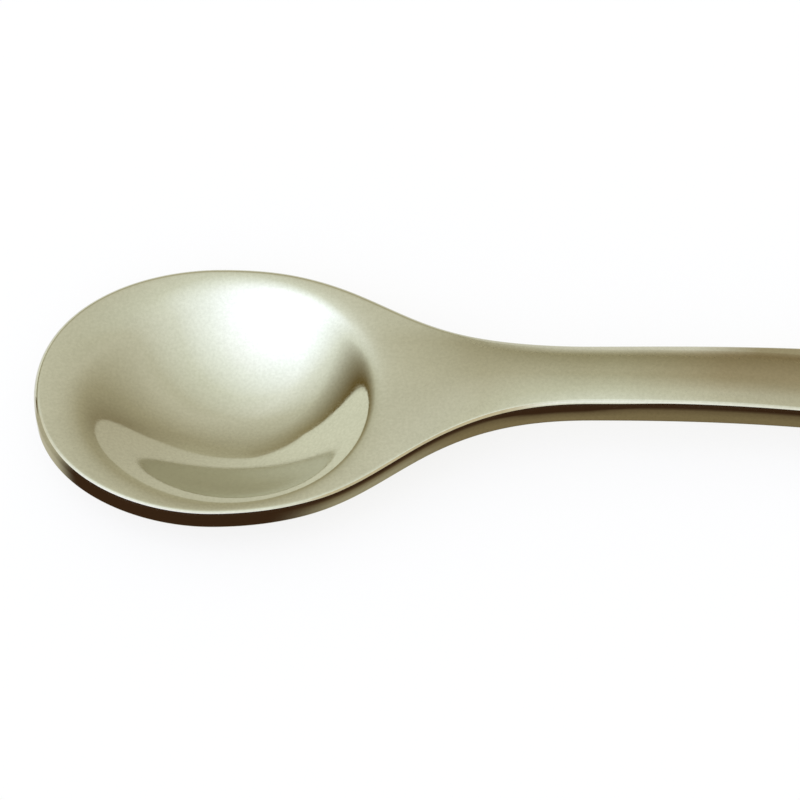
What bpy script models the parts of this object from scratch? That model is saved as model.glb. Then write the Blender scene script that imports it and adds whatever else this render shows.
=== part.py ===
"""Baby spoon, forged in one piece from steel, lying bowl up on a table.

Lengths are in metres and +Z is up. X runs from the tip of the bowl to the end of
the handle, Y across the spoon, and the table is the plane z = 0. The origin is on
the table, under the middle of the spoon's length.
"""

import math

import bmesh
import bpy
from mathutils import Vector

MM = 0.001

# Plan shape. Every "at" or "from" is a distance from the tip of the bowl.
LENGTH = 135 * MM
BOWL_WIDTH = 28 * MM
BOWL_WIDEST_AT = 16.6 * MM
NECK_WIDTH = 6.95 * MM
NECK_AT = 50.8 * MM
HANDLE_WIDTH = 11.3 * MM
HANDLE_END_LENGTH = 6.5 * MM

# How full the outline stays beside each of its points: 0 is pinched, 1 is square.
TIP_FULLNESS = 0.67
BOWL_FRONT_FULLNESS = 0.465
BOWL_BACK_FULLNESS = 0.498
NECK_FULLNESS = 0.558
HANDLE_FULLNESS = 0.324
HANDLE_END_FULLNESS = 0.56

# The dish pressed into the bowl, and the share by which its neck end is wider than its middle
DISH_LENGTH = 26.95 * MM
DISH_WIDTH = 24.35 * MM
DISH_MIDDLE_AT = 17.56 * MM
DISH_DEPTH = 5 * MM
DISH_TAPER = 0.09

# Softness of the dish's shoulder, which gets crisper towards the neck between two places
TIP_SHOULDER_SOFTNESS = 0.318
NECK_SHOULDER_SOFTNESS = 0.12
SOFT_UNTIL = 8 * MM
CRISP_FROM = 28 * MM

# Thickness of the metal
FLOOR_THICKNESS = 1.3 * MM
RIM_THICKNESS = 2.15 * MM
HANDLE_THICKNESS = 3.25 * MM
HANDLE_END_THICKNESS = 2.2 * MM
THICKENS_FROM = 26.4 * MM

# Side view: the handle leaves the rim, climbs to a crest and comes down to the table
RISE_FROM = 23.2 * MM
CREST_AT = 51 * MM
CREST_RISE = 2.6 * MM
REST_LENGTH = 10 * MM

# Rounding of the handle's top, and of the edges: how far each reaches in and how far it falls
HANDLE_CROWN = 0.6 * MM
TOP_EDGE_REACH = 0.8 * MM
TOP_EDGE_FALL = 0.5 * MM
BOTTOM_EDGE_REACH = 0.73 * MM
BOTTOM_EDGE_LIFT = 0.62 * MM

# How far the sections lean towards the middle at the two rounded ends
TIP_LEAN = 10 * MM
HANDLE_END_LEAN = 4 * MM

# Fineness of the mesh
FRONT_STEPS = 16
BACK_STEPS = 22
HANDLE_STEPS = 14
END_STEPS = 9
ACROSS_STEPS = 14
EDGE_STEPS = 4

RIM_HEIGHT = DISH_DEPTH + FLOOR_THICKNESS
CREST_HEIGHT = RIM_HEIGHT + CREST_RISE
REST_FROM = LENGTH - REST_LENGTH


def ease(along, start, stop):
    """Go from 0 at start to 1 at stop with no kink in slope or curvature."""
    share = min(max((along - start) / (stop - start), 0.0), 1.0)
    return share ** 3 * (10 - 15 * share + 6 * share ** 2)


def curve_point(a, b, c, d, share):
    """Give a point on a cubic curve with four control points, and its direction there."""
    ab = a.lerp(b, share)
    bc = b.lerp(c, share)
    cd = c.lerp(d, share)
    abc = ab.lerp(bc, share)
    bcd = bc.lerp(cd, share)
    return abc.lerp(bcd, share), (bcd - abc).normalized()


def outline():
    """Walk one side of the plan from tip to handle end: edge points and inward directions."""
    half_bowl = BOWL_WIDTH / 2
    half_neck = NECK_WIDTH / 2
    half_handle = HANDLE_WIDTH / 2
    handle_widest_at = LENGTH - HANDLE_END_LENGTH
    back = NECK_AT - BOWL_WIDEST_AT
    handle = handle_widest_at - NECK_AT

    tip = Vector((0, 0))
    bowl = Vector((BOWL_WIDEST_AT, half_bowl))
    neck = Vector((NECK_AT, half_neck))
    shoulder = Vector((handle_widest_at, half_handle))
    end = Vector((LENGTH, 0))
    stretches = [
        (tip, Vector((0, TIP_FULLNESS * half_bowl)),
         bowl - Vector((BOWL_FRONT_FULLNESS * BOWL_WIDEST_AT, 0)), bowl, FRONT_STEPS),
        (bowl, bowl + Vector((BOWL_BACK_FULLNESS * back, 0)),
         neck - Vector((NECK_FULLNESS * back, 0)), neck, BACK_STEPS),
        (neck, neck + Vector((HANDLE_FULLNESS * handle, 0)),
         shoulder - Vector((HANDLE_FULLNESS * handle, 0)), shoulder, HANDLE_STEPS),
        (shoulder, shoulder + Vector((HANDLE_END_FULLNESS * HANDLE_END_LENGTH, 0)),
         end + Vector((0, HANDLE_END_FULLNESS * half_handle)), end, END_STEPS),
    ]
    stations = []
    for a, b, c, d, steps in stretches:
        for step in range(steps):
            stations.append(curve_point(a, b, c, d, step / steps))
    stations.append(curve_point(*stretches[-1][:4], 1.0))
    return [(point, Vector((way.y, -way.x))) for point, way in stations]


def spine_under(along):
    """Find where the section through an outline point meets the middle line."""
    from_tip = TIP_LEAN * math.exp(-along / (1.25 * TIP_LEAN))
    from_end = HANDLE_END_LEAN * math.exp((along - LENGTH) / (1.25 * HANDLE_END_LEAN))
    return Vector((along + from_tip - from_end, 0))


def dish(point, length, width, depth):
    """Depth of an oval, evenly rounded dish below the rim, turning into it over a soft shoulder."""
    along = (point.x - DISH_MIDDLE_AT) / (length / 2)
    across = point.y / (width / 2) / (1 + DISH_TAPER * along)
    below = 1 - along ** 2 - across ** 2
    crisper = (TIP_SHOULDER_SOFTNESS - NECK_SHOULDER_SOFTNESS) * ease(point.x, SOFT_UNTIL, CRISP_FROM)
    softness = TIP_SHOULDER_SOFTNESS - crisper
    return depth * (below + math.hypot(below, softness)) / (1 + math.hypot(1, softness))


def top_line(along):
    """Height of the middle of the top face, leaving out the dish."""
    rise = CREST_RISE * ease(along, RISE_FROM, CREST_AT)
    fall = (CREST_HEIGHT - HANDLE_END_THICKNESS) * ease(along, CREST_AT, REST_FROM)
    return RIM_HEIGHT + rise - fall


def thickness(along):
    """Thickness of the blank, leaving out the dish."""
    swell = (HANDLE_THICKNESS - RIM_THICKNESS) * ease(along, THICKENS_FROM, CREST_AT)
    taper = (HANDLE_THICKNESS - HANDLE_END_THICKNESS) * ease(along, CREST_AT, REST_FROM)
    return RIM_THICKNESS + swell - taper


def top_height(point, share):
    """Height of the top face, with share 0 on the middle line and 1 on the outline."""
    crown = HANDLE_CROWN * ease(point.x, THICKENS_FROM, CREST_AT) * share ** 2
    return top_line(point.x) - crown - dish(point, DISH_LENGTH, DISH_WIDTH, DISH_DEPTH)


def bottom_height(point):
    """Height of the underside, whose bulge keeps the wall of the bowl even."""
    bulge_depth = DISH_DEPTH + FLOOR_THICKNESS - RIM_THICKNESS
    bulge = dish(point, DISH_LENGTH + RIM_THICKNESS, DISH_WIDTH + RIM_THICKNESS, bulge_depth)
    return top_line(point.x) - thickness(point.x) - bulge


def section(edge, inward):
    """Half a section: out along the top face, round the edge and back underneath."""
    spine = spine_under(edge.x)
    whole = (edge - spine).length
    top_inner = edge + inward * TOP_EDGE_REACH
    bottom_inner = edge + inward * BOTTOM_EDGE_REACH
    top = []
    bottom = []
    for step in range(ACROSS_STEPS):
        point = spine.lerp(top_inner, step / ACROSS_STEPS)
        top.append((point, top_height(point, (point - spine).length / whole)))
        point = spine.lerp(bottom_inner, step / ACROSS_STEPS)
        bottom.append((point, bottom_height(point)))
    for step in range(EDGE_STEPS + 1):
        turn = 0.5 * math.pi * step / EDGE_STEPS
        point = top_inner.lerp(edge, math.sin(turn))
        fall = TOP_EDGE_FALL * (1 - math.cos(turn))
        top.append((point, top_height(point, (point - spine).length / whole) - fall))
        point = bottom_inner.lerp(edge, math.sin(turn))
        lift = BOTTOM_EDGE_LIFT * (1 - math.cos(turn))
        bottom.append((point, bottom_height(point) + lift))
    ring = top + bottom[::-1]
    return [Vector((point.x - LENGTH / 2, point.y, height)) for point, height in ring]


def steel():
    """Warm polished steel."""
    material = bpy.data.materials.new("steel")
    material.use_nodes = True
    shader = material.node_tree.nodes["Principled BSDF"]
    shader.inputs["Base Color"].default_value = (0.59, 0.575, 0.47, 1)
    shader.inputs["Metallic"].default_value = 1.0
    shader.inputs["Roughness"].default_value = 0.1
    return material


def spoon():
    """Loft the sections of one half, then mirror them over the middle line."""
    mesh = bmesh.new()
    rings = [[mesh.verts.new(point) for point in section(edge, inward)] for edge, inward in outline()]
    for ring, following in zip(rings, rings[1:]):
        for step in range(len(ring) - 1):
            corners = (ring[step], following[step], following[step + 1], ring[step + 1])
            mesh.faces.new(corners).smooth = True
    data = bpy.data.meshes.new("spoon")
    mesh.to_mesh(data)
    mesh.free()
    data.materials.append(steel())
    piece = bpy.data.objects.new("spoon", data)
    bpy.context.collection.objects.link(piece)
    halves = piece.modifiers.new("other half", "MIRROR")
    halves.use_axis = (False, True, False)
    halves.use_mirror_merge = True
    halves.merge_threshold = 0.001 * MM
    return piece


for leftover in list(bpy.data.objects):
    bpy.data.objects.remove(leftover)

spoon()
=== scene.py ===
# %% [markdown]
# # A baby spoon in warm polished steel
# This lesson dresses one small spoon: an oval bowl with a smooth dish pressed into it, a slim neck
# and a flat handle that widens towards its end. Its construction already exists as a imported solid.
# We load that solid first, because it fixes the size and the place of everything that follows.

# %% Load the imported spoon
import math

import bpy
import numpy as np
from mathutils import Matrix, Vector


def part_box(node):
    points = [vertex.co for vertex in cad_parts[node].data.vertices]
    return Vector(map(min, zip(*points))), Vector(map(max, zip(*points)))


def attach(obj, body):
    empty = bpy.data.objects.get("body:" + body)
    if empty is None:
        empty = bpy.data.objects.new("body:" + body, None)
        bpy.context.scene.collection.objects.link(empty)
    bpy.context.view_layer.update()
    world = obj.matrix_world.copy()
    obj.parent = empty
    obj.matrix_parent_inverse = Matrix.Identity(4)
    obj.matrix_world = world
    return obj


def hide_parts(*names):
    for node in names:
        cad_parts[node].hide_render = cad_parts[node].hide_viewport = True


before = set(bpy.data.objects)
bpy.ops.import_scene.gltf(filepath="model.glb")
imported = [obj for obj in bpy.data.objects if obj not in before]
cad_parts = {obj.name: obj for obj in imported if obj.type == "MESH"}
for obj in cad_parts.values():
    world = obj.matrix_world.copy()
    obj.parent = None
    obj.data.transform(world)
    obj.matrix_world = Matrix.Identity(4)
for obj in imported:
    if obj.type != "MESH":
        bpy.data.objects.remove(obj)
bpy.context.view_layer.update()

MM = 0.001
spoon_low, spoon_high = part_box("spoon")
LENGTH = spoon_high.x - spoon_low.x
BOWL_WIDTH = spoon_high.y - spoon_low.y
print(f"packed spoon: {LENGTH / MM:.1f} mm long, {BOWL_WIDTH / MM:.1f} mm wide")

# %% [markdown]
# ## The outline seen from above
# Steel cutlery starts as a flat blank, cut to this outline and then pressed. We could draw it with
# many points, but then a wobble in any of them shows in the polished metal. Four cubic curves are
# enough: tip to widest bowl, bowl to neck, neck to handle, and the rounded end. Each curve leaves
# its end points along the spoon or straight across it, so the four meet without a corner.

# %% Sizes of the outline
BOWL_WIDEST_AT = 16.6 * MM
NECK_WIDTH = 6.95 * MM
NECK_AT = 50.8 * MM
HANDLE_WIDTH = 11.3 * MM
HANDLE_END_LENGTH = 6.5 * MM
TIP_FULLNESS = 0.67
BOWL_FRONT_FULLNESS = 0.465
BOWL_BACK_FULLNESS = 0.498
NECK_FULLNESS = 0.558
HANDLE_FULLNESS = 0.324
HANDLE_END_FULLNESS = 0.56

tip = np.array((0.0, 0.0))
bowl_side = np.array((BOWL_WIDEST_AT, BOWL_WIDTH / 2))
neck_side = np.array((NECK_AT, NECK_WIDTH / 2))
handle_side = np.array((LENGTH - HANDLE_END_LENGTH, HANDLE_WIDTH / 2))
handle_end = np.array((LENGTH, 0.0))
turning_points = [(point / MM).round(1).tolist() for point in (tip, bowl_side, neck_side, handle_side)]
print("outline runs through (mm):", turning_points)


# %% Walk along the outline
def curve_walk(start, pull_out, pull_in, stop, steps):
    """Points on a cubic curve and the unit directions that point from them into the metal."""
    share = np.linspace(0, 1, steps, endpoint=False)[:, None]
    rest = 1 - share
    points = (rest ** 3 * start + 3 * rest ** 2 * share * pull_out
              + 3 * rest * share ** 2 * pull_in + share ** 3 * stop)
    ways = (rest ** 2 * (pull_out - start) + 2 * rest * share * (pull_in - pull_out)
            + share ** 2 * (stop - pull_in))
    ways /= np.linalg.norm(ways, axis=1)[:, None]
    return points, np.stack((ways[:, 1], -ways[:, 0]), axis=1)


FRONT_STEPS = 64
BACK_STEPS = 80
HANDLE_STEPS = 60
END_STEPS = 26
ALONG = np.array((1.0, 0.0))
ACROSS = np.array((0.0, 1.0))
bowl_back = NECK_AT - BOWL_WIDEST_AT
handle_run = handle_side[0] - NECK_AT
stretches = [
    curve_walk(tip, TIP_FULLNESS * bowl_side * ACROSS,
               bowl_side - BOWL_FRONT_FULLNESS * BOWL_WIDEST_AT * ALONG, bowl_side, FRONT_STEPS),
    curve_walk(bowl_side, bowl_side + BOWL_BACK_FULLNESS * bowl_back * ALONG,
               neck_side - NECK_FULLNESS * bowl_back * ALONG, neck_side, BACK_STEPS),
    curve_walk(neck_side, neck_side + HANDLE_FULLNESS * handle_run * ALONG,
               handle_side - HANDLE_FULLNESS * handle_run * ALONG, handle_side, HANDLE_STEPS),
    curve_walk(handle_side, handle_side + HANDLE_END_FULLNESS * HANDLE_END_LENGTH * ALONG,
               handle_end + HANDLE_END_FULLNESS * handle_side * ACROSS, handle_end, END_STEPS),
]
edge = np.vstack([points for points, _ in stretches] + [handle_end])
inward = np.vstack([ways for _, ways in stretches] + [-ALONG])
print(f"{len(edge)} stations along one side of the outline")

# %% [markdown]
# ## The side view
# Seen from the side the blank is bent: it leaves the rim of the bowl, climbs to a crest at the neck
# and comes down until the end of the handle lies on the table. A bend made of straight pieces
# and arcs would show a kink in every reflection. So one easing curve, whose slope and curvature both
# start and stop at zero, carries the height and the thickness from one level to the next.

# %% Height and thickness along the spoon
DISH_DEPTH = 5.0 * MM
FLOOR_THICKNESS = 1.3 * MM
RIM_THICKNESS = 2.15 * MM
HANDLE_THICKNESS = 3.25 * MM
HANDLE_END_THICKNESS = 2.2 * MM
THICKENS_FROM = 26.4 * MM
RISE_FROM = 23.2 * MM
CREST_AT = 51 * MM
CREST_RISE = 2.6 * MM
REST_LENGTH = 10 * MM
RIM_HEIGHT = DISH_DEPTH + FLOOR_THICKNESS
CREST_HEIGHT = RIM_HEIGHT + CREST_RISE
REST_FROM = LENGTH - REST_LENGTH


def ease(along, start, stop):
    """Go from 0 at start to 1 at stop with no kink in slope or curvature."""
    share = np.clip((along - start) / (stop - start), 0, 1)
    return share ** 3 * (10 - 15 * share + 6 * share ** 2)


def top_line(along):
    """Height of the middle of the top face, leaving out the dish."""
    rise = CREST_RISE * ease(along, RISE_FROM, CREST_AT)
    fall = (CREST_HEIGHT - HANDLE_END_THICKNESS) * ease(along, CREST_AT, REST_FROM)
    return RIM_HEIGHT + rise - fall


def thickness(along):
    """Thickness of the blank, leaving out the dish."""
    swell = (HANDLE_THICKNESS - RIM_THICKNESS) * ease(along, THICKENS_FROM, CREST_AT)
    taper = (HANDLE_THICKNESS - HANDLE_END_THICKNESS) * ease(along, CREST_AT, REST_FROM)
    return RIM_THICKNESS + swell - taper


print(f"rim {RIM_HEIGHT / MM:.2f} mm and crest {CREST_HEIGHT / MM:.2f} mm above the table")

# %% [markdown]
# ## The dish
# The dish is the part of the spoon that everyone looks into, and its wall is a curved mirror. On the
# real spoon a press forms it, evenly rounded, with a soft shoulder where it turns into the flat rim.
# A sculpted or subdivided bowl would do for a matt spoon. Here a formula is better: a paraboloid,
# blended into the rim by a hyperbola, has no seam anywhere that a reflection could catch on.

# %% Depth of the dish
DISH_LENGTH = 26.95 * MM
DISH_WIDTH = 24.35 * MM
DISH_MIDDLE_AT = 17.56 * MM
DISH_TAPER = 0.09
TIP_SHOULDER_SOFTNESS = 0.318
NECK_SHOULDER_SOFTNESS = 0.12
SOFT_UNTIL = 8 * MM
CRISP_FROM = 28 * MM
HANDLE_CROWN = 0.6 * MM


def dish(point, length, width, depth):
    """Depth of an oval, evenly rounded dish below the rim."""
    along = (point[..., 0] - DISH_MIDDLE_AT) / (length / 2)
    across = point[..., 1] / (width / 2) / (1 + DISH_TAPER * along)
    below = 1 - along ** 2 - across ** 2
    crisper = ease(point[..., 0], SOFT_UNTIL, CRISP_FROM)
    softness = TIP_SHOULDER_SOFTNESS - (TIP_SHOULDER_SOFTNESS - NECK_SHOULDER_SOFTNESS) * crisper
    return depth * (below + np.hypot(below, softness)) / (1 + np.hypot(1, softness))


def top_height(point, share):
    """Height of the top face, with share 0 on the middle line and 1 on the outline."""
    crown = HANDLE_CROWN * ease(point[..., 0], THICKENS_FROM, CREST_AT) * share ** 2
    return top_line(point[..., 0]) - crown - dish(point, DISH_LENGTH, DISH_WIDTH, DISH_DEPTH)


def bottom_height(point):
    """Height of the underside, whose bulge keeps the wall of the bowl even."""
    bulge = dish(point, DISH_LENGTH + RIM_THICKNESS, DISH_WIDTH + RIM_THICKNESS,
                 DISH_DEPTH + FLOOR_THICKNESS - RIM_THICKNESS)
    return top_line(point[..., 0]) - thickness(point[..., 0]) - bulge


deepest = np.array((DISH_MIDDLE_AT, 0.0))
floor_metal = top_height(deepest, 0) - bottom_height(deepest)
print(f"metal at the bottom of the dish: {floor_metal / MM:.2f} mm")

# %% [markdown]
# ## Sections from the middle line to the edge
# Every station of the outline gets one section: out over the top face, round a tumbled edge and back
# underneath. Near the tip and the handle's end the sections fan out from the middle line, which
# keeps the faces there from crowding into slivers. The fine edge steps matter most, because the thin
# bright line along a polished rim is nothing but what this small radius mirrors.

# %% Lay out the sections
TIP_LEAN = 10 * MM
HANDLE_END_LEAN = 4 * MM
LEAN_FADE = 1.25
TOP_EDGE_REACH = 0.6 * MM
TOP_EDGE_FALL = 0.62 * MM
BOTTOM_EDGE_REACH = 0.5 * MM
BOTTOM_EDGE_LIFT = 0.45 * MM
ACROSS_STEPS = 62
EDGE_STEPS = 12

from_tip = TIP_LEAN * np.exp(-edge[:, 0] / (LEAN_FADE * TIP_LEAN))
from_end = HANDLE_END_LEAN * np.exp((edge[:, 0] - LENGTH) / (LEAN_FADE * HANDLE_END_LEAN))
spine = np.stack((edge[:, 0] + from_tip - from_end, np.zeros(len(edge))), axis=1)
whole = np.linalg.norm(edge - spine, axis=1)


def face_and_edge(reach, fall):
    """Plan points of a face and its rounded edge, and how far the edge has fallen away at each."""
    inner = edge + inward * reach
    flat = np.linspace(0, 1, ACROSS_STEPS, endpoint=False)
    turn = np.linspace(0, math.pi / 2, EDGE_STEPS + 1)
    on_face = spine[:, None] + (inner - spine)[:, None] * flat[None, :, None]
    on_edge = inner[:, None] + (edge - inner)[:, None] * np.sin(turn)[None, :, None]
    away = np.concatenate((np.zeros(ACROSS_STEPS), 1 - np.cos(turn)))
    return np.concatenate((on_face, on_edge), axis=1), fall * away[None, :]


top_plan, top_fall = face_and_edge(TOP_EDGE_REACH, TOP_EDGE_FALL)
bottom_plan, bottom_lift = face_and_edge(BOTTOM_EDGE_REACH, BOTTOM_EDGE_LIFT)
out_share = np.linalg.norm(top_plan - spine[:, None], axis=2) / whole[:, None]
top_z = top_height(top_plan, out_share) - top_fall
bottom_z = bottom_height(bottom_plan) + bottom_lift
ring_plan = np.concatenate((top_plan, bottom_plan[:, ::-1]), axis=1)
ring_z = np.concatenate((top_z, bottom_z[:, ::-1]), axis=1)
print(f"{ring_z.shape[0]} sections of {ring_z.shape[1]} points")

# %% [markdown]
# ## One mesh, mirrored
# Neighbouring sections are joined by quads, which gives half a spoon, and a Mirror modifier makes the
# other half. The halves share the points on the middle line, so the merge distance is kept far below
# the size of a face. The mesh also carries a number for each point that says how far it is round an
# edge. The steel uses that number later, because handling polishes the edges of cutlery first.

# %% Loft one half
stations, around = ring_z.shape
points = np.concatenate((ring_plan, ring_z[..., None]), axis=2)
points[..., 0] -= LENGTH / 2
number = np.arange(stations * around).reshape(stations, around)
corners = np.stack((number[:-1, :-1], number[1:, :-1], number[1:, 1:], number[:-1, 1:]), axis=2)

spoon_mesh = bpy.data.meshes.new("baby_spoon")
spoon_mesh.from_pydata(points.reshape(-1, 3).tolist(), [], corners.reshape(-1, 4).tolist())
spoon_mesh.shade_smooth()
print(f"half spoon: {len(spoon_mesh.polygons)} quads")

# %% Mark the edges and mirror the half
MERGE_WITHIN = 0.001 * MM
edge_turn = np.concatenate((np.zeros(ACROSS_STEPS), np.linspace(0, 1, EDGE_STEPS + 1)))
edge_turn = np.concatenate((edge_turn, edge_turn[::-1]))
rub = spoon_mesh.attributes.new("edge_rub", "FLOAT", "POINT")
rub.data.foreach_set("value", np.tile(edge_turn, stations).astype(np.float32))

spoon = bpy.data.objects.new("baby_spoon", spoon_mesh)
bpy.context.scene.collection.objects.link(spoon)
halves = spoon.modifiers.new("other half", "MIRROR")
halves.use_axis = (False, True, False)
halves.merge_threshold = MERGE_WITHIN
print(f"mirrored, with {np.count_nonzero(edge_turn)} of {around} points of a section round the edge")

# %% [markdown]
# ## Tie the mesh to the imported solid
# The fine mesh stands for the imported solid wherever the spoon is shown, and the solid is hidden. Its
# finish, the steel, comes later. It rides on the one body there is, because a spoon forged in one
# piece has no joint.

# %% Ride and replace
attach(spoon, "root")
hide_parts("spoon")
print("baby_spoon rides on root and stands for the packed spoon")

# %% [markdown]
# ## Warm polished steel
# The steel is a warm grey mirror with small faults. A plain metallic shader would look like plastic
# film, so three sizes of unevenness go in: cloudy patches a few millimetres wide, a lengthwise grain
# left by the polishing belt, and a fine tumbled grain that gives the metal its soft speckle. Each
# drives colour, gloss or bump a little. All are noise in the spoon's own space, so no flat layout of
# the surface is needed.

# %% Steel: three sizes of grain
CLOUD_SIZE = (9 * MM, 6 * MM, 6 * MM)
BELT_GRAIN_SIZE = (14 * MM, 0.22 * MM, 0.22 * MM)
TUMBLED_GRAIN_SIZE = (0.28 * MM, 0.28 * MM, 0.28 * MM)
GRAIN_DETAIL = 2.0


def new_material(name):
    """A material and its tree of nodes."""
    material = bpy.data.materials.new(name)
    material.use_nodes = True
    return material, material.node_tree


steel, steel_tree = new_material("warm_polished_steel")
nodes = steel_tree.nodes
links = steel_tree.links
shader = nodes["Principled BSDF"]
shader.inputs["Metallic"].default_value = 1.0
place = nodes.new("ShaderNodeTexCoord")


def grain(name, size):
    """Noise whose features have the given size along X, Y and Z."""
    stretch = nodes.new("ShaderNodeMapping")
    stretch.inputs["Scale"].default_value = [1 / side for side in size]
    noise = nodes.new("ShaderNodeTexNoise")
    noise.name = name
    noise.inputs["Scale"].default_value = 1.0
    noise.inputs["Detail"].default_value = GRAIN_DETAIL
    links.new(place.outputs["Object"], stretch.inputs["Vector"])
    links.new(stretch.outputs["Vector"], noise.inputs["Vector"])
    return noise.outputs["Fac"]


clouds = grain("clouds", CLOUD_SIZE)
belt_grain = grain("belt_grain", BELT_GRAIN_SIZE)
tumbled_grain = grain("tumbled_grain", TUMBLED_GRAIN_SIZE)
grain_lengths = [size[0] / MM for size in (CLOUD_SIZE, BELT_GRAIN_SIZE, TUMBLED_GRAIN_SIZE)]
print("length of the grain along the spoon (mm):", grain_lengths)

# %% Steel: colour
DULL_STEEL = (0.545, 0.531, 0.434, 1)
BRIGHT_STEEL = (0.635, 0.619, 0.511, 1)
NOISE_LOW = 0.3
NOISE_HIGH = 0.7
CLOUD_TONE = 0.35
TUMBLED_TONE = 0.65


def spread(value, low, high, to_low, to_high):
    """Stretch part of a value's range to a new range."""
    change = nodes.new("ShaderNodeMapRange")
    change.inputs["From Min"].default_value = low
    change.inputs["From Max"].default_value = high
    change.inputs["To Min"].default_value = to_low
    change.inputs["To Max"].default_value = to_high
    links.new(value, change.inputs["Value"])
    return change.outputs["Result"]


def combine(operation, first, second):
    """Put two values together."""
    sum_up = nodes.new("ShaderNodeMath")
    sum_up.operation = operation
    for socket, value in zip(sum_up.inputs, (first, second)):
        if isinstance(value, float):
            socket.default_value = value
        else:
            links.new(value, socket)
    return sum_up.outputs["Value"]


cloud_tone = spread(clouds, NOISE_LOW, NOISE_HIGH, 0.0, CLOUD_TONE)
tumbled_tone = spread(tumbled_grain, NOISE_LOW, NOISE_HIGH, 0.0, TUMBLED_TONE)
tone = combine("ADD", cloud_tone, tumbled_tone)
tint = nodes.new("ShaderNodeMix")
tint.data_type = "RGBA"
tint.inputs["A"].default_value = DULL_STEEL
tint.inputs["B"].default_value = BRIGHT_STEEL
links.new(tone, tint.inputs["Factor"])
links.new(tint.outputs["Result"], shader.inputs["Base Color"])
print("steel tones", DULL_STEEL[:3], "to", BRIGHT_STEEL[:3])

# %% Steel: gloss
POLISHED = 0.05
SATIN = 0.11
CLOUD_GLOSS = 0.5
GLOSS_NOISE_LOW = 0.5
GLOSS_NOISE_HIGH = 1.0
EDGE_POLISH = 0.03
edge_rub = nodes.new("ShaderNodeAttribute")
edge_rub.attribute_name = "edge_rub"
scratches = combine("ADD", belt_grain, combine("MULTIPLY", clouds, CLOUD_GLOSS))
gloss = spread(scratches, GLOSS_NOISE_LOW, GLOSS_NOISE_HIGH, POLISHED, SATIN)
gloss = combine("SUBTRACT", gloss, combine("MULTIPLY", edge_rub.outputs["Fac"], EDGE_POLISH))
links.new(gloss, shader.inputs["Roughness"])
print(f"roughness {POLISHED} to {SATIN}, and {EDGE_POLISH} less on the edges")

# %% Steel: bump
BUMP_STRENGTH = 0.25
BUMP_HEIGHT = 0.004 * MM
BELT_BUMP = 0.5
TUMBLED_BUMP = 0.5
bump = nodes.new("ShaderNodeBump")
bump.inputs["Strength"].default_value = BUMP_STRENGTH
bump.inputs["Distance"].default_value = BUMP_HEIGHT
belt_bump = combine("MULTIPLY", belt_grain, BELT_BUMP)
tumbled_bump = combine("MULTIPLY", tumbled_grain, TUMBLED_BUMP)
links.new(combine("ADD", belt_bump, tumbled_bump), bump.inputs["Height"])
links.new(bump.outputs["Normal"], shader.inputs["Normal"])
spoon_mesh.materials.append(steel)
print(f"bump of at most {BUMP_HEIGHT / MM:.3f} mm")

# %% [markdown]
# ## A plain floor
# The spoon lies on a wide, pale, matt sheet of paper. Its own colour makes most of the white ground of
# the picture. The rest is a share of plain white that only the camera and the reflections see, mixed
# in by the Light Path node, so the light needs no extra strength. More light would make the ground
# white too, but it would also burn out the steel. The paper still shows the soft shadow of the bowl.

# %% Floor: pale paper
PALE_PAPER = (0.93, 0.89, 0.89, 1)
WHITE_SHARE = 0.8


def show(tree, surface):
    """Make a shader the surface of its material."""
    tree.links.new(surface, tree.nodes["Material Output"].inputs["Surface"])


paper, paper_tree = new_material("pale_sheet")
matt = paper_tree.nodes["Principled BSDF"]
matt.inputs["Base Color"].default_value = PALE_PAPER
matt.inputs["Roughness"].default_value = 1.0
matt.inputs["Specular IOR Level"].default_value = 0.0
ray = paper_tree.nodes.new("ShaderNodeLightPath")
seen = ray.outputs["Is Camera Ray"]
for kind in ("Is Glossy Ray", "Is Transmission Ray"):
    either = paper_tree.nodes.new("ShaderNodeMath")
    either.operation = "MAXIMUM"
    paper_tree.links.new(seen, either.inputs[0])
    paper_tree.links.new(ray.outputs[kind], either.inputs[1])
    seen = either.outputs["Value"]
print(f"paper of colour {PALE_PAPER[:3]}, with {WHITE_SHARE:.0%} of plain white where it is seen")

# %% Floor: mix in the white
white = paper_tree.nodes.new("ShaderNodeEmission")
white_where_seen = paper_tree.nodes.new("ShaderNodeMath")
white_where_seen.operation = "MULTIPLY"
white_where_seen.inputs[1].default_value = WHITE_SHARE
paper_mix = paper_tree.nodes.new("ShaderNodeMixShader")
paper_tree.links.new(seen, white_where_seen.inputs[0])
paper_tree.links.new(white_where_seen.outputs["Value"], paper_mix.inputs["Fac"])
paper_tree.links.new(matt.outputs["BSDF"], paper_mix.inputs[1])
paper_tree.links.new(white.outputs["Emission"], paper_mix.inputs[2])
show(paper_tree, paper_mix.outputs["Shader"])
print(f"paper has {len(paper_tree.nodes)} nodes")

# %% Floor: lay the sheet
FLOOR_SIZE = 12.0


def sheet_through(name, lines, material):
    """A sheet of the studio through lines of points, which is no part of the spoon."""
    lines = np.array(lines)
    rows, count, _ = lines.shape
    number = np.arange(rows * count).reshape(rows, count)
    panels = np.stack((number[:-1, :-1], number[:-1, 1:], number[1:, 1:], number[1:, :-1]), axis=2)
    shape = bpy.data.meshes.new(name)
    shape.from_pydata(lines.reshape(-1, 3).tolist(), [], panels.reshape(-1, 4).tolist())
    shape.materials.append(material)
    laid = bpy.data.objects.new(name, shape)
    bpy.context.scene.collection.objects.link(laid)
    return laid


def straight_line(along, across, level):
    """Points of a line along the spoon, at one place across it and one height."""
    return np.stack((along, np.full(len(along), across), np.full(len(along), level)), axis=1)


half_floor = FLOOR_SIZE / 2
floor_sides = np.array((-half_floor, half_floor))
floor_lines = [straight_line(floor_sides, side, 0.0) for side in floor_sides]
floor = sheet_through("floor", floor_lines, paper)
print(f"{floor.name} is {FLOOR_SIZE} m square")

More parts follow.
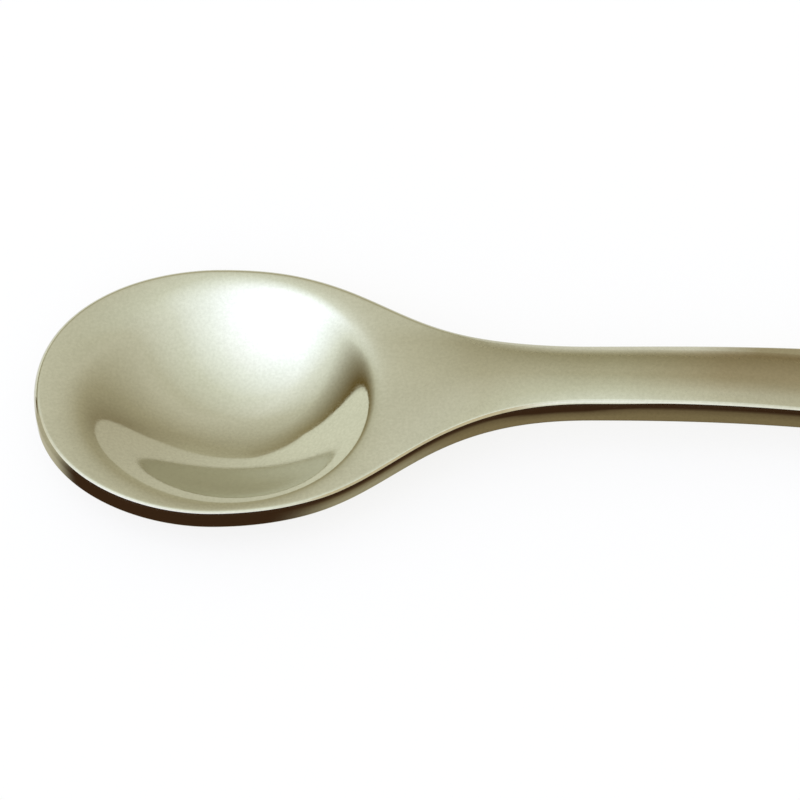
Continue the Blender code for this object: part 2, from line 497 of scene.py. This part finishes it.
# %% [markdown]
# ## A pale card and a shade behind the spoon
# Polished metal has no look of its own: it shows what stands around it. Photographers of cutlery set
# up white and black cards just outside the picture, so that every edge gets its line. A light crescent
# low in the dish is such a card, standing behind the spoon and mirrored upside down. We could paint
# the crescent on the steel, but then it would stay put when the spoon turns. So the card is real: a
# band bent round the spoon, whose upper edge rises and falls with the crescent's. A gel, which is a
# clear tinted sheet, stands behind it and dims the room just above the crescent.

# %% Pale card: a colour that changes along an axis
HALFWAY = 0.5


def colour_ramp(tree, value, stops, interpolation="EASE"):
    """A colour ramp with its stops given as (place, colour)."""
    ramp = tree.nodes.new("ShaderNodeValToRGB")
    ramp.color_ramp.interpolation = interpolation
    steps = ramp.color_ramp.elements
    while len(steps) < len(stops):
        steps.new(HALFWAY)
    for step, (at, colour) in zip(steps, stops):
        step.position = at
        step.color = (*colour, 1)
    tree.links.new(value, ramp.inputs["Fac"])
    return ramp.outputs["Color"]


def ramp_along(tree, axis, stops, interpolation="EASE"):
    """A colour that changes along an axis, with its stops given as (place in metres, colour)."""
    first = stops[0][0]
    last = stops[-1][0]
    spot = tree.nodes.new("ShaderNodeTexCoord")
    parts = tree.nodes.new("ShaderNodeSeparateXYZ")
    change = tree.nodes.new("ShaderNodeMapRange")
    change.inputs["From Min"].default_value = first
    change.inputs["From Max"].default_value = last
    tree.links.new(spot.outputs["Object"], parts.inputs["Vector"])
    tree.links.new(parts.outputs[axis], change.inputs["Value"])
    shares = [((place - first) / (last - first), colour) for place, colour in stops]
    return colour_ramp(tree, change.outputs["Result"], shares, interpolation)


# Place along X in metres, and colour
PALE_TONES = ((-1.8, (1.00, 1.04, 0.92)), (1.2, (0.66, 0.63, 0.50)))
pale, pale_tree = new_material("pale_card")
pale_light = pale_tree.nodes.new("ShaderNodeEmission")
pale_tree.links.new(ramp_along(pale_tree, "X", PALE_TONES), pale_light.inputs["Color"])
show(pale_tree, pale_light.outputs["Emission"])
print(f"pale card goes from {PALE_TONES[0][1]} at the left to {PALE_TONES[1][1]} at the right")

# %% Pale card: bend it round the spoon
BEND_STEPS = 48
PALE_RADIUS = 2.0
# Turn from straight behind the spoon, and how high the card's upper edge looks there, in degrees
PALE_TOP = ((-58, 15.9), (-46, 19.4), (-33, 22.4), (-12, 17.8), (18, 22.5), (75, 20.8))


def height_at(radius, elevation):
    """How high something stands that far away and looks that high."""
    return radius * np.tan(np.radians(elevation))


def bent_line(radius, turns, elevation):
    """Points of an arc round the spoon, at some turns from straight behind it."""
    heights = height_at(radius, elevation) * np.ones_like(turns)
    return np.stack((radius * np.sin(turns), radius * np.cos(turns), heights), axis=1)


pale_degrees = np.linspace(PALE_TOP[0][0], PALE_TOP[-1][0], BEND_STEPS)
pale_turns = np.radians(pale_degrees)
pale_top = np.interp(pale_degrees, *zip(*PALE_TOP))
pale_lines = [bent_line(PALE_RADIUS, pale_turns, looks) for looks in (0, pale_top)]
pale_card = sheet_through("pale_card", pale_lines, pale)
print(f"pale card looks {pale_top.min():.1f} to {pale_top.max():.1f} degrees high")

# %% Shade: a gel that dims the room above the card
WHOLE = (1.0, 1.0, 1.0)
NOTHING = (0.0, 0.0, 0.0)
CLEAR = (1.0, 1.0, 1.0)
DEEP_SHADE = (0.20, 0.13, 0.04)
SOFT_SHADE = (0.38, 0.27, 0.06)
RIGHT_SHADE = (0.52, 0.44, 0.35)
# Place along X in metres, and tint
SHADE_TINTS = ((-2.25, DEEP_SHADE), (-1.45, SOFT_SHADE), (-0.3, CLEAR), (0.5, CLEAR), (1.4, RIGHT_SHADE))
SHADE_RADIUS = 2.6
# How high the shade looks where it starts to fade and where it is gone, in degrees
FULL_SHADE_BELOW = 18.5
NO_SHADE_ABOVE = 35
shade, shade_tree = new_material("shade_gel")
shade_tint = shade_tree.nodes.new("ShaderNodeMix")
shade_tint.data_type = "RGBA"
shade_tint.inputs["A"].default_value = (*CLEAR, 1)
shade_sheet = shade_tree.nodes.new("ShaderNodeBsdfTransparent")
full_up_to = height_at(SHADE_RADIUS, FULL_SHADE_BELOW)
clear_from = height_at(SHADE_RADIUS, NO_SHADE_ABOVE)
shade_fades = ((full_up_to, WHOLE), (clear_from, NOTHING))
shade_tree.links.new(ramp_along(shade_tree, "X", SHADE_TINTS, "LINEAR"), shade_tint.inputs["B"])
shade_tree.links.new(ramp_along(shade_tree, "Z", shade_fades, "LINEAR"), shade_tint.inputs["Factor"])
shade_tree.links.new(shade_tint.outputs["Result"], shade_sheet.inputs["Color"])
show(shade_tree, shade_sheet.outputs["BSDF"])
print(f"shade is full up to {FULL_SHADE_BELOW} degrees and gone at {NO_SHADE_ABOVE} degrees")

# %% Shade: bend it round the spoon
SHADE_SIDE = 80
SHADE_TOP = 38
shade_turns = np.radians(np.linspace(-SHADE_SIDE, SHADE_SIDE, BEND_STEPS))
shade_lines = [bent_line(SHADE_RADIUS, shade_turns, looks) for looks in (0, SHADE_TOP)]
shade_gel = sheet_through("shade_gel", shade_lines, shade)
print(f"shade reaches {SHADE_SIDE} degrees to either side")

# %% [markdown]
# ## A painted strip along the near edge
# Below its bright line, the near edge of the real spoon shows a nearly black line, and under the neck
# and the handle an olive band. The metal stands almost upright there and mirrors what is right in
# front of it, as it would mirror dark paper laid against it. One large dark card in front would do,
# but from behind it would turn the whole top of the spoon brown. This strip follows the outline a
# little way outside it, so it shows along that edge and hardly anywhere else. Its paint is a colour
# attribute: every point has its red, green and blue, and a cover that says how much of the sheet the
# paint hides.

# %% Strip: a sheet that is painted point by point
def painted_material(name):
    """Paint that gives off its colour, and a clear sheet where the cover leaves it bare."""
    material, tree = new_material(name)
    paint = tree.nodes.new("ShaderNodeAttribute")
    paint.attribute_name = "paint"
    light = tree.nodes.new("ShaderNodeEmission")
    bare = tree.nodes.new("ShaderNodeBsdfTransparent")
    cover = tree.nodes.new("ShaderNodeMixShader")
    tree.links.new(paint.outputs["Color"], light.inputs["Color"])
    tree.links.new(paint.outputs["Alpha"], cover.inputs["Fac"])
    tree.links.new(bare.outputs["BSDF"], cover.inputs[1])
    tree.links.new(light.outputs["Emission"], cover.inputs[2])
    show(tree, cover.outputs["Shader"])
    return material


def painted_sheet(name, lines, colours, covers, material):
    """A sheet through lines of points, with a colour and a cover for every point of every line."""
    laid = sheet_through(name, lines, material)
    paint = np.concatenate((colours, np.array(covers)[..., None]), axis=2)
    layer = laid.data.color_attributes.new("paint", "FLOAT_COLOR", "POINT")
    layer.data.foreach_set("color", paint.astype(np.float32).ravel())
    return laid


strip_material = painted_material("edge_strip")
print(f"strip paint has {len(strip_material.node_tree.nodes)} nodes")

# %% Strip: stretches of the edge
# Where each stretch begins and ends, as distances from the tip over which it comes in or goes out
TIP_TO_BOWL = (1 * MM, 4 * MM)
BOWL_TO_NECK = (21 * MM, 30 * MM)
NECK_TO_HANDLE = (31 * MM, 41 * MM)
NECK_COMES = (24 * MM, 28 * MM)
NECK_GOES = (42 * MM, 48 * MM)
THIN_LINE_GOES = (52 * MM, 60 * MM)
CREST_COMES = (40 * MM, 47 * MM)
CREST_GOES = (49 * MM, 57 * MM)
STRIP_COMES = (0.0, 0.25 * MM)
STRIP_GOES = (85 * MM, 115 * MM)
THIN_LID = 0.4
along_edge = edge[:, 0]


def edge_stretch(comes, goes):
    """1 along a stretch of the edge and 0 off it, with soft ends."""
    return ease(along_edge, *comes) * (1 - ease(along_edge, *goes))


by_neck = edge_stretch(NECK_COMES, NECK_GOES)
thin_line = edge_stretch(NECK_COMES, THIN_LINE_GOES)
under_crest = edge_stretch(CREST_COMES, CREST_GOES)
strip_cover = edge_stretch(STRIP_COMES, STRIP_GOES)
lid_cover = strip_cover * (THIN_LID + (1 - THIN_LID) * by_neck)
beside_edge = along_edge < handle_side[0]
print(f"strip runs beside {np.count_nonzero(strip_cover[beside_edge])} stations of the edge")

# %% Strip: its rows
# These colours are painted reflection: mirrored in the near edge, the rows make its dark line and its olive
# band, and the pale lid dims its bright line.
NEARLY_BLACK = (0.06, 0.03, 0.015)
DARK_BROWN = (0.20, 0.15, 0.085)
OLIVE_BROWN = (0.29, 0.23, 0.13)
OLIVE_GREY = (0.45, 0.41, 0.29)
PALE_GREY = (0.62, 0.59, 0.46)
PALE_EDGE = (0.86, 0.77, 0.58)
STRIP_LOWEST = 0.3 * MM
# Each row from the table up: its gap outside the edge, its lift above the edge, its sag under the crest
# and its dip by the neck, in millimetres, and its paint beside the tip, the bowl, the neck and the handle
WALL_ROWS = (
    (0.60, -5.20, 0.0, 0.0, PALE_GREY, NEARLY_BLACK, OLIVE_GREY, NEARLY_BLACK),
    (0.60, -3.90, 0.0, 0.0, PALE_GREY, NEARLY_BLACK, OLIVE_GREY, NEARLY_BLACK),
    (0.60, -3.25, 0.0, 0.0, PALE_GREY, NEARLY_BLACK, OLIVE_GREY, OLIVE_BROWN),
    (0.60, -2.30, -0.4, 0.0, PALE_GREY, NEARLY_BLACK, OLIVE_GREY, OLIVE_BROWN),
    (0.60, -1.30, -0.7, 0.0, PALE_GREY, NEARLY_BLACK, DARK_BROWN, DARK_BROWN),
    (0.60, -0.35, -1.2, 0.0, PALE_GREY, NEARLY_BLACK, NEARLY_BLACK, NEARLY_BLACK),
    (0.60, 0.90, 0.0, -0.45, PALE_GREY, NEARLY_BLACK, NEARLY_BLACK, NEARLY_BLACK),
)
# The lid leans in over the edge and dims its bright line
LID_ROWS = (
    (0.60, 0.92, 0.0, -0.45, PALE_EDGE, PALE_EDGE, PALE_EDGE, PALE_EDGE),
    (-0.10, 2.00, 0.0, 0.0, PALE_EDGE, PALE_EDGE, PALE_EDGE, PALE_EDGE),
)
print(f"strip has {len(WALL_ROWS)} rows in its wall and {len(LID_ROWS)} in its lid")


# %% Strip: lay it along the edge
def edge_line(gap, lift, sag, dip):
    """A line beside the near edge, outside and above it, that sags under the crest and dips by the neck."""
    plan = edge - inward * gap * MM
    rise = (lift + sag * under_crest + dip * thin_line) * MM
    level = np.maximum(top_height(edge, 1.0) + rise, STRIP_LOWEST)
    return np.stack((plan[:, 0] - LENGTH / 2, -plan[:, 1], level), axis=1)


def paint_over(colours, paint, where):
    """Go over from the colours so far to another paint along the edge."""
    share = ease(along_edge, *where)[:, None]
    return colours * (1 - share) + np.array(paint) * share


def edge_colours(tip_paint, bowl_paint, neck_paint, handle_paint):
    """Colours of one row, from the tip to the handle."""
    colours = paint_over(np.array(tip_paint), bowl_paint, TIP_TO_BOWL)
    colours = paint_over(colours, neck_paint, BOWL_TO_NECK)
    return paint_over(colours, handle_paint, NECK_TO_HANDLE)


strip_rows = WALL_ROWS + LID_ROWS
strip_lines = [edge_line(*row[:4])[beside_edge] for row in strip_rows]
strip_colours = [edge_colours(*row[4:])[beside_edge] for row in strip_rows]
strip_covers = [strip_cover[beside_edge]] * len(WALL_ROWS) + [lid_cover[beside_edge]] * len(LID_ROWS)
edge_strip = painted_sheet("edge_strip", strip_lines, strip_colours, strip_covers, strip_material)
print(f"strip has {len(edge_strip.data.polygons)} panels")

# %% [markdown]
# ## A gel arched over the handle
# The handle is browner than the bowl and darker towards its far side, although both are one piece of
# steel: its crowned top mirrors another part of the room. Changing the room would change the bowl as
# well. A brown gel arched low over the handle dims only what the handle mirrors. Its tint changes
# along the spoon and its strength across it, so it is painted point by point, like the strip.

# %% Handle gel: tints along the spoon
WARM_NECK = (0.76, 0.72, 0.63)
WARM_GREY = (0.79, 0.765, 0.68)
SMOKED_BROWN = (0.63, 0.54, 0.43)
# Places from the middle of the spoon's length, in millimetres
ARCH_LEFT = -41
ARCH_RIGHT = 75
ARCH_FINE_UNTIL = 0
ARCH_STOPS = (ARCH_LEFT, -29, -20, -14, -3)
ARCH_TINTS = (CLEAR, WARM_NECK, WARM_GREY, WARM_GREY, SMOKED_BROWN)


def colours_along(places, stops, colours):
    """Colours that go straight from each stop's colour to the next one's."""
    return np.stack([np.interp(places, stops, channel) for channel in zip(*colours)], axis=1)


arch_along = np.concatenate((np.arange(ARCH_LEFT, ARCH_FINE_UNTIL), (ARCH_FINE_UNTIL, ARCH_RIGHT)))
arch_tints = colours_along(arch_along, ARCH_STOPS, ARCH_TINTS)
print(f"handle gel has {len(arch_along)} points along the spoon")

# %% Handle gel: strength across the spoon
# Degrees up from the far side, over the top and down on the near side
ARCH_FROM = 10
ARCH_TO = 130
# Lengths and places in millimetres
ARCH_RADIUS = 11
ARCH_HEIGHT = 8.5
NECK_GEL_COMES = (-37, -32)
NECK_GEL_GOES = (-22, -15)
ACROSS_STOPS = (-7, -4, -1.5, 0.5, 2.7, 5.5, 10, 10.7)
HANDLE_STRENGTH = (0, 0.30, 0.55, 0.55, 0.80, 1.00, 1.00, 0)
NECK_STRENGTH = (0, 0.75, 0.75, 0.75, 0.80, 0.85, 0.80, 0)
at_neck = ease(arch_along, *NECK_GEL_COMES) * (1 - ease(arch_along, *NECK_GEL_GOES))
arch_lines = []
arch_colours = []
for turn in np.radians(np.linspace(ARCH_FROM, ARCH_TO, BEND_STEPS)):
    across = ARCH_RADIUS * math.cos(turn)
    level = ARCH_HEIGHT + ARCH_RADIUS * math.sin(turn)
    on_handle = np.interp(across, ACROSS_STOPS, HANDLE_STRENGTH)
    on_neck = np.interp(across, ACROSS_STOPS, NECK_STRENGTH)
    strength = on_handle * (1 - at_neck) + on_neck * at_neck
    arch_lines.append(straight_line(arch_along, across, level) * MM)
    arch_colours.append(1 + (arch_tints - 1) * strength[:, None])
print(f"handle gel is {ARCH_HEIGHT + ARCH_RADIUS} mm high")

# %% Handle gel: a clear sheet that takes its tint from the paint
tinted, tinted_tree = new_material("handle_gel")
handle_tint = tinted_tree.nodes.new("ShaderNodeAttribute")
handle_tint.attribute_name = "paint"
tinted_sheet = tinted_tree.nodes.new("ShaderNodeBsdfTransparent")
tinted_tree.links.new(handle_tint.outputs["Color"], tinted_sheet.inputs["Color"])
show(tinted_tree, tinted_sheet.outputs["BSDF"])
arch_covers = np.ones((BEND_STEPS, len(arch_along)))
handle_gel = painted_sheet("handle_gel", arch_lines, arch_colours, arch_covers, tinted)
print(f"handle gel has {len(handle_gel.data.polygons)} panels")

# %% [markdown]
# ## A slim pale card behind the handle
# A pale line runs along the far edge of the handle, where its top rounds off and mirrors the room far
# behind it. The room is dim there, so the line needs a card of its own. It stands close behind the
# handle, fades out upwards, so that the line has one soft side, and turns from pale green at the neck
# to olive along the handle. A card further off would have to be larger and would show in the dish.

# %% Slim card: paint it and stand it up
NECK_GREEN = (0.84, 0.84, 0.76)
PALE_GREEN = (0.94, 0.94, 0.87)
DIM_OLIVE = (0.52, 0.46, 0.32)
# Places behind the middle line and along the spoon, in millimetres
SLIM_AT = 10.4
SLIM_LEFT = -30
SLIM_STEPS = 80
SLIM_COMES = (-29, -25)
SLIM_STOPS = (-25, -13, -6, 0.5)
SLIM_PAINTS = (NECK_GREEN, PALE_GREEN, PALE_GREEN, DIM_OLIVE)
# Height of each row in millimetres, and its cover
SLIM_ROWS = ((6, 1), (12.3, 1), (14.7, 0))
SLIM_TILT = math.radians(-2.5)
slim_along = np.linspace(SLIM_LEFT, ARCH_RIGHT, SLIM_STEPS)
slim_lines = [straight_line(slim_along, SLIM_AT, level) * MM for level, _ in SLIM_ROWS]
slim_colours = [colours_along(slim_along, SLIM_STOPS, SLIM_PAINTS)] * len(SLIM_ROWS)
slim_covers = [ease(slim_along, *SLIM_COMES) * share for _, share in SLIM_ROWS]
slim_material = painted_material("slim_card")
slim_card = painted_sheet("slim_card", slim_lines, slim_colours, slim_covers, slim_material)
slim_card.rotation_euler.y = SLIM_TILT
print(f"slim card stands {SLIM_AT} mm behind the middle line")

# %% [markdown]
# ## Keep the cards out of the picture
# In a studio the cards stand outside the frame. Here they may stand anywhere, because Blender can
# hide an object from some kinds of rays. Hidden from the camera, from diffuse light and from shadows,
# they show in the polished metal and change nothing else.

# %% Show the cards and gels to reflections only
studio = (pale_card, shade_gel, edge_strip, handle_gel, slim_card)
for sheet in studio:
    sheet.visible_camera = False
    sheet.visible_diffuse = False
    sheet.visible_shadow = False
print(f"{len(studio)} cards and gels stand around the spoon")

# %% [markdown]
# ## Soft light from all round
# One large soft light, high on the left behind the camera, does the work, and the rest of the room
# fades away from it. Area lamps would show as hard-edged rectangles in the dish. So the world itself
# is the light: its brightness follows the angle to the middle of the soft light, and falls off
# towards the walls. A pale band along the horizon closes the picture in low views.

# %% Light the room
KEY_AZIMUTH = math.radians(-136)
KEY_ELEVATION = math.radians(58)
KEY_STRENGTH = 3.0
FAR_SIDE = -0.25
# Nearness to the middle of the soft light, from the far side to 1, and colour
ROOM_TONES = (
    (0.25, (0.190, 0.175, 0.127)),
    (0.60, (0.280, 0.281, 0.243)),
    (0.78, (0.405, 0.430, 0.431)),
    (0.90, (0.554, 0.607, 0.699)),
    (1.00, (0.713, 0.774, 1.000)),
)
key_direction = (math.cos(KEY_ELEVATION) * math.sin(KEY_AZIMUTH),
                 math.cos(KEY_ELEVATION) * math.cos(KEY_AZIMUTH), math.sin(KEY_ELEVATION))

room = bpy.data.worlds.new("soft_room")
room.use_nodes = True
bpy.context.scene.world = room
sky = room.node_tree.nodes
wires = room.node_tree.links
outlook = sky.new("ShaderNodeTexCoord")
nearness = sky.new("ShaderNodeVectorMath")
nearness.operation = "DOT_PRODUCT"
nearness.inputs[1].default_value = key_direction
wires.new(outlook.outputs["Generated"], nearness.inputs[0])
from_far = sky.new("ShaderNodeMapRange")
from_far.inputs["From Min"].default_value = FAR_SIDE
from_far.inputs["From Max"].default_value = 1.0
wires.new(nearness.outputs["Value"], from_far.inputs["Value"])
soft_light = colour_ramp(room.node_tree, from_far.outputs["Result"], ROOM_TONES, "LINEAR")
print("soft light comes from", tuple(round(part, 2) for part in key_direction))

# %% Tint the walls
# How far up a direction points, from 0 at the horizon to 1 overhead, and tint
WALL_TINTS = (
    (0.36, (1.00, 1.04, 1.04)),
    (0.56, (0.92, 0.93, 0.91)),
    (0.80, (1.00, 1.00, 1.00)),
    (1.00, (0.79, 0.78, 0.70)),
)
upward = sky.new("ShaderNodeSeparateXYZ")
wires.new(outlook.outputs["Generated"], upward.inputs["Vector"])
walls = colour_ramp(room.node_tree, upward.outputs["Z"], WALL_TINTS, "LINEAR")
lit_walls = sky.new("ShaderNodeMix")
lit_walls.data_type = "RGBA"
lit_walls.blend_type = "MULTIPLY"
lit_walls.inputs["Factor"].default_value = 1.0
wires.new(soft_light, lit_walls.inputs["A"])
wires.new(walls, lit_walls.inputs["B"])
print(f"walls tinted at {len(WALL_TINTS)} heights")

# %% Close the picture with a pale band
BAND_TOP = 0.05
BAND_FADED = 0.07
BAND_WHITE = 0.98
horizon = colour_ramp(room.node_tree, upward.outputs["Z"], [(BAND_TOP, WHOLE), (BAND_FADED, NOTHING)])
band_tone = BAND_WHITE / KEY_STRENGTH
view_out = sky.new("ShaderNodeMix")
view_out.data_type = "RGBA"
view_out.inputs["B"].default_value = (band_tone, band_tone, band_tone, 1)
wires.new(horizon, view_out.inputs["Factor"])
wires.new(lit_walls.outputs["Result"], view_out.inputs["A"])
wires.new(view_out.outputs["Result"], sky["Background"].inputs["Color"])
sky["Background"].inputs["Strength"].default_value = KEY_STRENGTH
bpy.context.scene.view_settings.view_transform = "Standard"
print(f"pale band up to {math.degrees(math.asin(BAND_FADED)):.1f} degrees above the horizon")

# %% [markdown]
# ## The camera
# The spoon was photographed from rather high above the table, square to its length, with a long lens
# from half a metre away, so that the bowl fills the left of the frame and the handle runs out on the
# right. The lens follows from the width of spoon that the square frame takes in.

# %% Place the camera
VIEW_ELEVATION = math.radians(54)
VIEW_DISTANCE = 0.5
FRAME_WIDTH = 72.9 * MM
LOOK_AT = (-34.05 * MM, -1.38 * MM, RIM_HEIGHT)
FILM_WIDTH = 36.0
NEAREST_SEEN = 0.01
lens = bpy.data.cameras.new("camera")
lens.sensor_width = FILM_WIDTH
lens.lens = FILM_WIDTH * VIEW_DISTANCE / FRAME_WIDTH
lens.clip_start = NEAREST_SEEN
camera = bpy.data.objects.new("camera", lens)
camera.location = (LOOK_AT[0], LOOK_AT[1] - VIEW_DISTANCE * math.cos(VIEW_ELEVATION),
                   LOOK_AT[2] + VIEW_DISTANCE * math.sin(VIEW_ELEVATION))
camera.rotation_euler = (math.pi / 2 - VIEW_ELEVATION, 0, 0)
bpy.context.scene.collection.objects.link(camera)
bpy.context.scene.camera = camera
print(f"lens {lens.lens:.0f} mm, {VIEW_DISTANCE} m away")
